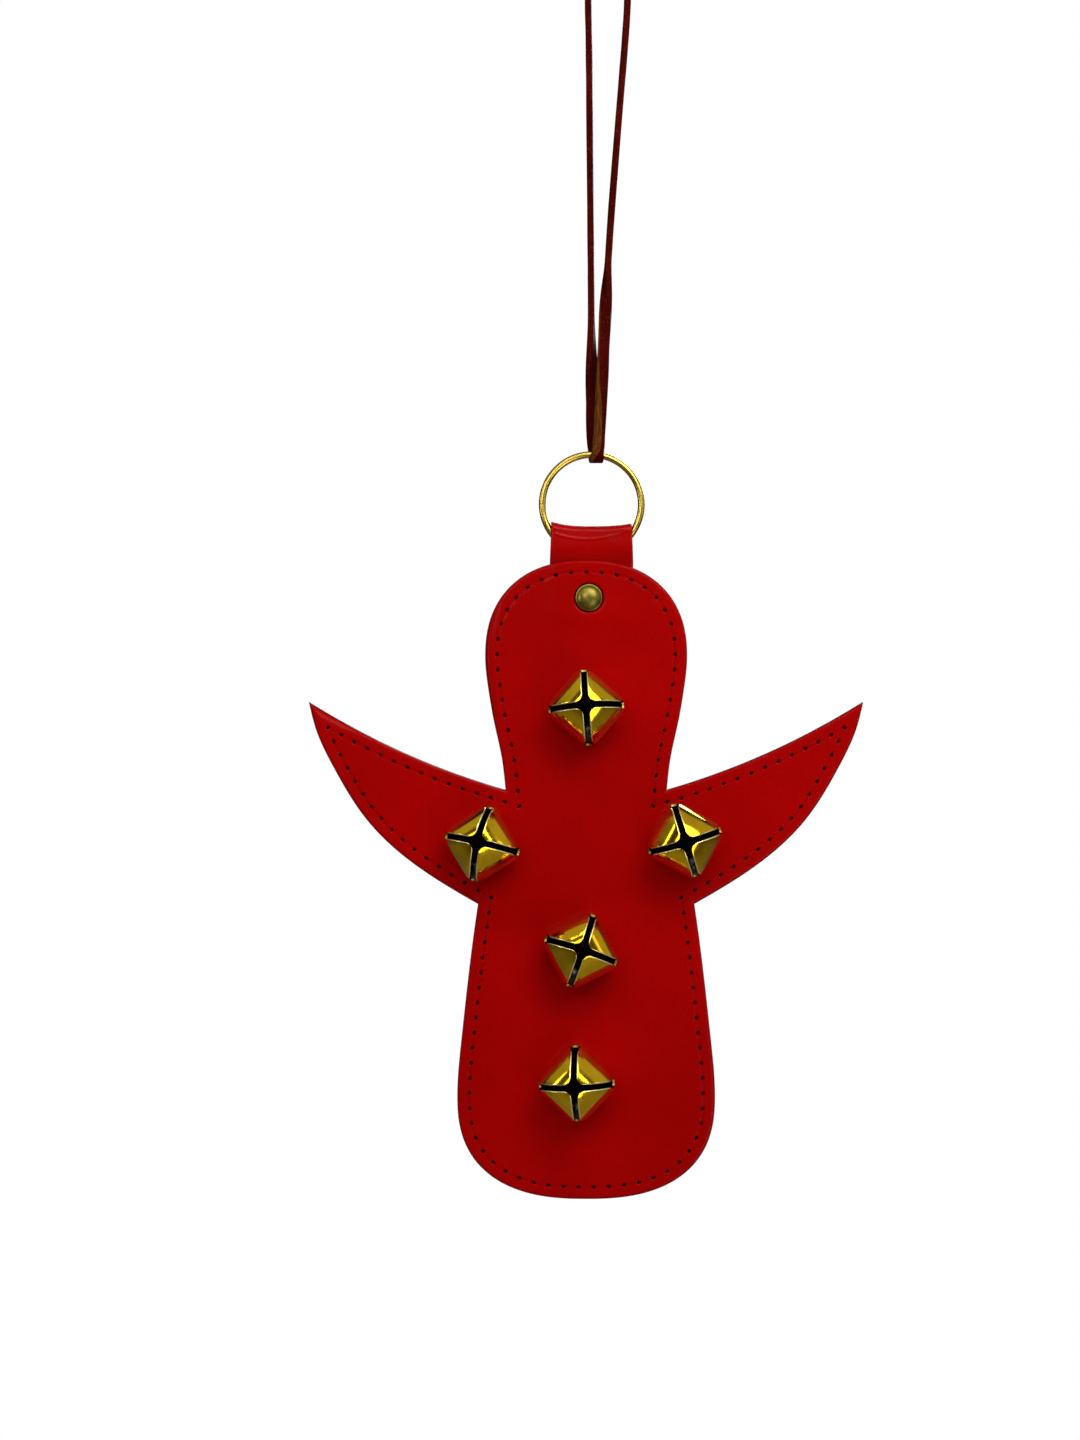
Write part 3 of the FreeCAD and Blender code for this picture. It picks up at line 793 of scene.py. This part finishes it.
def nurbs_line(name, route, spacing):
    """Evenly spaced points on the smooth line that a route's points control."""
    data = bpy.data.curves.new(name, "CURVE")
    data.dimensions = "3D"
    data.resolution_u = 40
    path = data.splines.new("NURBS")
    path.points.add(len(route) - 1)
    for point, place in zip(path.points, route):
        point.co = (*place, 1)
    path.order_u = 3
    path.use_endpoint_u = True
    curve = add_object(name, data)
    bpy.context.view_layer.update()
    mesh = bpy.data.meshes.new_from_object(curve)
    line = np.array([tuple(vertex.co) for vertex in mesh.vertices])
    bpy.data.objects.remove(curve)
    bpy.data.meshes.remove(mesh)
    return evenly(line, spacing)


# The lace's route: knot, left strand behind the ring, under the wire, right strand, knot
LACE_ROUTE = [
    (-0.002, 0.0, 0.0034), (-0.0063, 0.0001, -0.0004), (-0.0067, 0.0002, -0.009),
    (-0.0063, 0.0004, -0.024), (-0.0061, 0.0009, -0.05), (-0.0057, 0.0013, -0.092),
    (-0.0054, 0.0022, -0.132), (-0.0053, 0.003, -0.153), (-0.0043, 0.0029, -0.16335),
    (-0.0036, -0.0029, -0.16335), (-0.0028, -0.0031, -0.153), (-0.0018, -0.0027, -0.132),
    (0.0002, -0.0012, -0.092), (0.0035, -0.0008, -0.05), (0.0057, -0.0003, -0.024),
    (0.0067, -0.0002, -0.009), (0.0063, -0.0001, -0.0004), (0.002, 0.0, 0.0034)]
LACE_WIDTH, LACE_THICKNESS = 0.004, 0.0021
RAW_FIRST, RAW_LAST = 7, 10  # the raw part of the face, as points of the section


def add_lace(materials):
    line = nurbs_line("lace_line", LACE_ROUTE, 0.0008)
    z, behind = line[:, 2], line[:, 1] > 0
    # Flat round the wire, then each strand twists: the front one shows its cut edge at first
    front_turn = (0.75 * smooth_step(z, -0.1625, -0.1545) - 0.8 * smooth_step(z, -0.152, -0.122)
                  - 1.45 * smooth_step(z, -0.122, -0.096))
    back_turn = -0.35 * smooth_step(z, -0.162, -0.156) + 1.85 * smooth_step(z, -0.156, -0.112)
    angle = np.where(behind, back_turn, front_turn)
    across = np.stack([np.cos(angle), np.sin(angle), np.zeros(len(z))], 1)
    section = rounded_rectangle(LACE_WIDTH / 2, LACE_THICKNESS / 2, 0.0004)
    wander = 1 + 0.05 * np.stack([rough(line, 90, 2.0), rough(line, 120, 9.0)], 1)
    wander[:, 1] *= 1 - 0.22 * (1 - smooth_step(z, -0.1635, -0.1575))
    wander[:, 0] *= 1 + 0.16 * (1 - smooth_step(z, -0.1638, -0.1595))
    points, faces = swept_strip(line, across, section, wander)
    # The front strand's face is raw from its edge to a line that runs in towards the ring
    raw = np.where(behind, 0.00015, 0.00015 + 0.0019 * (1 - smooth_step(z, -0.1625, -0.129)))
    raw *= np.where(behind, 1, 1 - 0.75 * (1 - smooth_step(z, -0.1635, -0.16)))
    rings = points.reshape(len(line), len(section), 3)
    left, right = rings[:, RAW_LAST], rings[:, RAW_FIRST - 3]
    share = (raw / np.linalg.norm(right - left, axis=1))[:, None]
    border = left + (right - left) * share
    for step in range(3):
        rings[:, RAW_FIRST + step] = border + (left - border) * step / 3
        rings[:, RAW_FIRST - step] = border + (right - border) * step / 3
    # Each strand's cut edge on the inside of the loop is raw, the other one is stained dark
    inner = np.array([np.abs(section[:, 0] + side * LACE_WIDTH / 2) < 0.0003 for side in (1, -1)])
    inner &= np.roll(inner, -1, axis=1)
    inner[0, RAW_FIRST:RAW_LAST + CORNER_STEPS] = True
    kinds = [int(edge) for is_behind in behind[:-1] for edge in inner[int(is_behind)]] + [1, 1]
    return make_piece("lace", points, faces, materials, "thong", "thong_loop",
                      kinds), line


def add_knot(material):
    """An overhand knot in the doubled ends, with two tails standing out of it."""
    low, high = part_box("thong_knot")
    centre = np.array([0, 0, 0.0049])
    angles = np.linspace(-0.32 * math.pi, 1.62 * math.pi, 120)
    size = 0.00135
    trefoil = np.stack([np.sin(angles) + 2 * np.sin(2 * angles), -1.15 * np.sin(3 * angles),
                        np.cos(angles) - 2 * np.cos(2 * angles)], 1) * size + centre
    section = rounded_rectangle(LACE_WIDTH / 2 * 0.85, LACE_THICKNESS / 2, 0.00055)
    points, faces = [], []
    tails = [[(0.001, -0.001, 0.006), (0.0045, -0.0018, 0.012), (0.0065, -0.0016, 0.0196)],
             [(-0.001, 0.001, 0.006), (-0.0048, 0.0016, 0.011), (-0.0083, 0.0022, 0.016)]]
    lines = [trefoil] + [nurbs_line("tail", tail, 0.0006) for tail in tails]
    for line in lines:
        more, more_faces = swept_strip(line, np.array([0.15, 1, 0.1]), section)
        faces += [[len(points) + corner for corner in face] for face in more_faces]
        points += list(more)
    points = np.clip(points, low, high)
    return make_piece("lace_knot", points, faces, [material], "thong",
                      "thong_knot")


TAB_THICKNESS, FOLD_LOWERED = 0.0011, 0.0013


def add_tab(material):
    """A strip folded over the ring's wire, with curling corners and a crease across its front."""
    low, high = TAB_LOW, TAB_HIGH
    closed_y, fold_radius = TAB_THICKNESS / 2 + 0.00002, 0.00125 + TAB_THICKNESS / 2
    top_z = high.z - FOLD_LOWERED
    fold_z = top_z - fold_radius - TAB_THICKNESS / 2
    open_z, closing_z = fold_z - 0.0077, fold_z - 0.0111
    front_leg = [(-closed_y, low.z), (-closed_y, closing_z - 0.004), (-closed_y, closing_z),
                 (-fold_radius, open_z), (-fold_radius, fold_z)]
    angles = np.linspace(math.pi, 0, 17)[1:-1]
    fold = [(fold_radius * math.cos(angle), fold_z + fold_radius * math.sin(angle))
            for angle in angles]
    profile = front_leg + fold + [(-y, z) for y, z in front_leg[::-1]]
    middle_x, half_width = (low.x + high.x) / 2 + 0.0001, (high.x - low.x) / 2
    line = evenly(spline([(0, y, z) for y, z in profile]), 0.00025) + np.array([middle_x, 0, 0])
    section = rounded_rectangle(half_width, TAB_THICKNESS / 2, 0.00045, 70)
    flare = 1.016 - 0.032 * np.clip((line[:, 2] - (fold_z - 0.01)) / 0.011, 0, 1)
    scale = np.stack([flare, np.ones(len(line))], 1)
    points, faces = swept_strip(line, np.array([1, 0, 0]), section, scale)
    out = (points[:, 0] - middle_x) / half_width
    rise = smooth_step(points[:, 2], fold_z - 0.006, top_z)
    horns = np.where(out < 0, 0.0017, 0.001) * np.abs(out) ** 2.6 - 0.0005
    points[:, 2] += rise * horns
    crease = fold_z - 0.0024 + 0.003 * (out + 0.12) ** 2
    height = points[:, 2] - crease
    ridge = 0.00027 * np.exp(-((height + 0.0002) / 0.00038) ** 2) * (1 - out ** 4)
    points[:, 1] -= ridge * (points[:, 1] < 0)
    points += 0.00008 * rough(points, 160, 5.0)[:, None] * np.array([0, 1, 0.3])
    make_piece("tab_strip", points, faces, [material], "angel", "hanger_tab")


# ---- ring and tab rivet

def add_ring(material):
    """A ring of round wire with a filed weld low down, inside the tab."""
    low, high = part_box("ring")
    centre = (low + high) / 2
    wire = (high.y - low.y) / 2
    radius = (high.x - low.x) / 2 - wire
    steps, sides = 160, 20
    points, faces = [], []
    for step, angle in enumerate(round_angles(steps)):
        from_weld = abs((angle - 1.62 * math.pi + math.pi) % math.tau - math.pi)
        waist = 1 - 0.05 * math.exp(-(from_weld / 0.05) ** 2)
        waver = 1 + 0.002 * noise.noise(Vector((math.cos(angle) * 2, math.sin(angle) * 2, 4)))
        for turn in round_angles(sides):
            out = radius * min(waver, 1) + wire * waist * math.cos(turn)
            points.append((centre.x + out * math.sin(angle), wire * waist * math.sin(turn),
                           centre.z + out * math.cos(angle)))
        faces += ring_faces(step * sides, (step + 1) % steps * sides, sides)
    make_piece("ring_wire", points, faces, [material], "ring", "ring")


def add_rivet_cap(material):
    """A pressed dome with a thin rolled rim."""
    centre, thickness = (CAP_LOW + CAP_HIGH) / 2, CAP_HIGH.y - CAP_LOW.y
    profile = [(0, 1), (0.14, 0.992), (0.28, 0.965), (0.42, 0.905), (0.55, 0.81), (0.67, 0.68),
               (0.77, 0.53), (0.85, 0.38), (0.9, 0.27), (0.915, 0.2), (0.935, 0.185),
               (0.965, 0.19), (0.99, 0.15), (1.0, 0.08), (0.985, 0.01), (0.95, 0.0), (0, 0)]
    sides = 64
    points = []
    for out, height in profile:
        for angle in round_angles(sides):
            points.append((centre.x + CAP_RADIUS * out * math.cos(angle),
                           CAP_HIGH.y - thickness * height,
                           centre.z + CAP_RADIUS * out * math.sin(angle)))
    make_piece("rivet_dome", points, tube_faces(0, len(profile), sides), [material], "angel",
               "tab_rivet_cap", weld_gap=1e-6)


# ---- bells

BELL_HALF_SIDE = 0.0104
BELL_HEIGHT, BELL_EQUATOR = 0.0215, 0.0102
BELL_BASE, BELL_BORE = 0.0046, 0.0017
BELL_SQUARENESS = 5.0
BELL_WALL = 0.0006
SLOT_HALF = 0.00105
SLOT_FOOT = 0.008  # height of the slots' ends
SLOT_FOOT_HALF = 0.0018  # half width of their round ends
SLOT_NARROWED = 0.0066  # height above the foot where the slot is narrow
TIP_ROUND = 0.0025
RIM_ROLL = 0.00032  # how far in from a slot its pressed edge starts
PAINTED_HIGHLIGHT_FROM = BELL_EQUATOR + 0.0045  # above this height the slots' rolled rims are painted with the lighter highlight brass
PAINTED_SHADE_UP_TO = 0.0082  # the slots' round ends are painted with the bells' near-black inside shade up to here
BELL_LIFT = 0.00003  # from the leather to a bell's base
DENT_DEPTH = 0.00006
SHARP_ANGLE = math.radians(38)
# How far each crown leans from the middle of its bell, to the right and up
CROWN_LEAN = [
    (-0.0004, 0.0011), (-0.0017, 0.0015), (-0.0002, -0.0003), (0.0005, 0.0014), (-0.0012, -0.0001)]


def facet_reach(half_side, squareness, slot_half):
    """How far along its facet a row runs before it meets the slot's edge."""
    low, high = 0.0, half_side
    for _ in range(40):
        middle = (low + high) / 2
        out = half_side * (1 - (middle / half_side) ** squareness) ** (1 / squareness)
        if out - middle > math.sqrt(2) * slot_half:
            low = middle
        else:
            high = middle
    return low


def slot_half_at(height):
    """Half the slot's width: a round foot that narrows into the slot."""
    if height <= SLOT_FOOT:
        return 0.0
    centre = SLOT_FOOT + SLOT_FOOT_HALF
    if height < centre:
        return math.sqrt(SLOT_FOOT_HALF ** 2 - (centre - height) ** 2)
    narrowing = float(smooth_step(height, centre, centre + SLOT_NARROWED))
    return SLOT_FOOT_HALF + (SLOT_HALF - SLOT_FOOT_HALF) * narrowing


def bell_rows():
    """Rows from the base to the petals' tips: half side, height, squareness, half length, lean."""
    rows = [(radius, 0.0, 2.0, None, -math.pi / 2) for radius in (BELL_BORE, 0.0029, BELL_BASE)]
    bowl = [0.0007, 0.0016, 0.0027, 0.0039, 0.005, 0.006, 0.0069, 0.0075, 0.0078]
    slot_low = [SLOT_FOOT + SLOT_FOOT_HALF * (1 - math.cos(math.radians(angle)))
                for angle in range(0, 91, 9)]
    for height in bowl + slot_low:
        share = height / BELL_EQUATOR
        if share < 1:
            half = BELL_BASE + (BELL_HALF_SIDE - BELL_BASE) * math.sin(math.acos(1 - share))
            squareness = 2 + (BELL_SQUARENESS - 2) * share ** 0.6
            lean = -math.acos(min(1, share)) * 0.8
            rows.append((half, height, squareness, None, lean))
    dome = BELL_HEIGHT - BELL_EQUATOR
    tip_centre = math.sqrt(2) * (SLOT_HALF + TIP_ROUND)
    tip = tip_centre - TIP_ROUND
    last_lean = math.acos((tip_centre - TIP_ROUND / math.sqrt(2)) / BELL_HALF_SIDE)
    leans = np.concatenate([np.linspace(0.0, 0.42, 12), np.linspace(0.42, last_lean, 18)[1:]])
    for lean in leans:
        rows.append((BELL_HALF_SIDE * math.cos(lean), BELL_EQUATOR + dome * math.sin(lean),
                     BELL_SQUARENESS, None, lean))
    for share in (0.75, 0.55, 0.38, 0.24, 0.12, 0.04, 0.0):
        half = tip + share * (rows[-1][0] - tip)
        lean = math.acos(half / BELL_HALF_SIDE)
        inner = tip_centre - half
        reach = math.sqrt(max(TIP_ROUND ** 2 - inner ** 2, 0)) if share else 0.0
        rows.append((half, BELL_EQUATOR + dome * math.sin(lean), BELL_SQUARENESS, reach, lean))
    return rows


def bell_columns(reach):
    """Places along a row: close together at both ends, where the pressed edge rolls in."""
    steps = np.array([0.0, 0.25, 0.5, 0.75, 1.0, 1.5]) * RIM_ROLL
    ends = reach - steps * min(1, reach / 0.0016)
    inner = ends[-1] * np.sin(np.linspace(-math.pi / 2, math.pi / 2, 17))[1:-1]
    return np.concatenate([-ends, inner, ends[::-1]])


def bell_shell(number, materials):
    """Four petals folded up from a round base, with a slot between each two."""
    base_x, base_y, base_z = JOINTS[f"bell_{number}_spin"]["pos_m"]
    rattle = JOINTS[f"pellet_{number}_rattle"]["axis"]
    turn = math.atan2(rattle[0], rattle[2])
    lean_x, lean_z = CROWN_LEAN[number - 1]
    rows = bell_rows()
    points, faces, kinds = [], [], []
    for petal in range(4):
        facing = math.radians(45 + 90 * petal)
        base = len(points)
        for half, height, squareness, reach, lean in rows:
            if reach is None:
                reach = facet_reach(half, squareness, slot_half_at(height))
            on_slot = float(smooth_step(height, SLOT_FOOT, SLOT_FOOT + SLOT_FOOT_HALF))
            for aside in bell_columns(reach):
                out = half * (1 - min(1, abs(aside) / half) ** squareness) ** (1 / squareness)
                into_roll = max(0.0, 1 - (reach - abs(aside)) / RIM_ROLL)
                roll = 0.7 * RIM_ROLL * (1 - math.sqrt(1 - into_roll ** 2)) * on_slot
                spot = Vector((out * math.cos(facing), out * math.sin(facing), height))
                dent = DENT_DEPTH * noise.noise(spot * 260 + Vector((number * 11.3, 0, 0)))
                shift = dent - roll
                out += shift * math.cos(lean)
                rise = min(height + shift * math.sin(lean) * (height > 0), BELL_HEIGHT)
                x = out * math.cos(facing) - aside * math.sin(facing)
                y = out * math.sin(facing) + aside * math.cos(facing)
                leaned = (rise / BELL_HEIGHT) ** 3
                right = x * math.cos(turn) + y * math.sin(turn) + lean_x * leaned
                up = -x * math.sin(turn) + y * math.cos(turn) + lean_z * leaned
                points.append((base_x + right, base_y - BELL_LIFT - rise, base_z + up))
        width = (len(points) - base) // len(rows)
        for row in range(len(rows) - 1):
            height = rows[row][1]
            for column in range(width - 1):
                low, high = base + row * width + column, base + (row + 1) * width + column
                faces.append((low, low + 1, high + 1, high))
                # Kind 3 paints a highlight on the rolled rims high up; kind 1 paints the slots'
                # round ends with the insides' shade
                rolled = column < 3 or column > width - 5
                at_foot = SLOT_FOOT - 1e-6 < height < PAINTED_SHADE_UP_TO and column in (0, width - 2)
                kinds.append(3 if height > PAINTED_HIGHLIGHT_FROM and rolled else int(at_foot))
    shell = make_piece(f"bell_{number}_petals", points, faces, materials, f"bell_{number}",
                       f"bell_{number}_shell", kinds, weld_gap=2e-6)
    # The wall's inner side takes the next material along, which for plain brass is the near-black
    # painted shade inside
    thick = shell.modifiers.new("wall", "SOLIDIFY")
    thick.thickness = BELL_WALL
    thick.offset, thick.material_offset, thick.material_offset_rim = -1, 1, 1
    made = shell.evaluated_get(bpy.context.evaluated_depsgraph_get())
    shell.data = bpy.data.meshes.new_from_object(made)
    shell.modifiers.clear()
    shell.data.set_sharp_from_angle(angle=SHARP_ANGLE)


# ---- the scene

bpy.context.scene.view_settings.view_transform = "Standard"
add_camera()
for name, softbox in SOFTBOXES.items():
    add_softbox(name, *softbox)
add_room()
add_floor()

grain, flesh = lace_grain(), lace_flesh()
lace, lace_line = add_lace([grain, flesh])
knot = add_knot(grain)

paint = edge_paint()
# Near-black material for the stitch holes and for the gap round the front rivet: painted shade in
# those recesses
hole = fibrous("stitch_hole_painted_shade", 3000, (0.004, 0.0003, 0.0003), (0.016, 0.0006, 0.0006), 0.00004,
               Roughness=0.9, Specular_IOR_Level=0.1)
thread = fibrous("red_thread", 5200, (0.15, 0.0, 0.0), (0.21, 0.0001, 0.0001), 0.00002,
                 Roughness=0.6, Specular_IOR_Level=0.2, Specular_Tint=(1, 0.2, 0.2, 1))
leather_panel("front_leather", FACE_Y, JOIN_Y, 0.001, front_relief,
              [red_leather(), paint, hole], "front_panel")
leather_panel("back_lining", BACK_Y, JOIN_Y + 0.00003, 0.0005, back_relief,
              [lining_suede(), paint, hole], "back_panel")
stitches("front_stitches", FACE_Y, 1, thread, "front_thread")
stitches("back_stitches", BACK_Y, -1, thread, "back_thread")
add_tab(red_leather("tab_leather", 0.11))

add_ring(brass("ring_brass", (0.64, 0.45, 0.085), (0.47, 0.32, 0.05), (0.2, 0.3), 0.00001,
               0.0000004))
antique = brass("antique_brass", (0.26, 0.21, 0.035), (0.11, 0.09, 0.015), (0.3, 0.46), 0.00008)
add_rivet_cap(antique)

bell_brass = brass("bell_brass", (0.86, 0.54, 0.014), (0.72, 0.41, 0.01), (0.08, 0.16), 0.00009)
# A lighter, rougher brass on the rolled rims along a bell's slots: a painted highlight where the
# rims catch the light
painted_highlight = plain_metal("painted_highlight_brass", (900, 3), (0.95, 0.86, 0.52), (0.9, 0.74, 0.22),
                      (0.3, 0.42), (3000, 2), 0.00001, Metallic=1.0)
# Near-black for the bells' inner walls, their rivets and the slots' round ends: painted shade
# inside the hollow bells
painted_shade_inside = plain_metal("bell_painted_shade_inside", (300, 4), (0.004, 0.003, 0.001), (0.014, 0.01, 0.003),
                     (0.55, 0.75), (900, 3), 0.00003, Metallic=0.6, Specular_IOR_Level=0.08)
# Near-black steel for the pellets: painted shade of the bells' insides on them
steel_painted_shade = plain_metal("pellet_steel", (700, 4), (0.05, 0.047, 0.04), (0.025, 0.023, 0.02),
                    (0.22, 0.45), (1500, 3), 0.00003, Metallic=1.0)
carried_over = {"tab_rivet_post": antique}
for number in range(1, BELL_COUNT + 1):
    bell_shell(number, [bell_brass, painted_shade_inside, antique, painted_highlight])
    carried_over |= {f"bell_{number}_rivet": painted_shade_inside, f"bell_{number}_washer": antique,
                     f"bell_{number}_pellet": steel_painted_shade}
for node, finish in carried_over.items():
    materials = frame["nodes"][node].data.materials
    materials.clear()
    materials.append(finish)
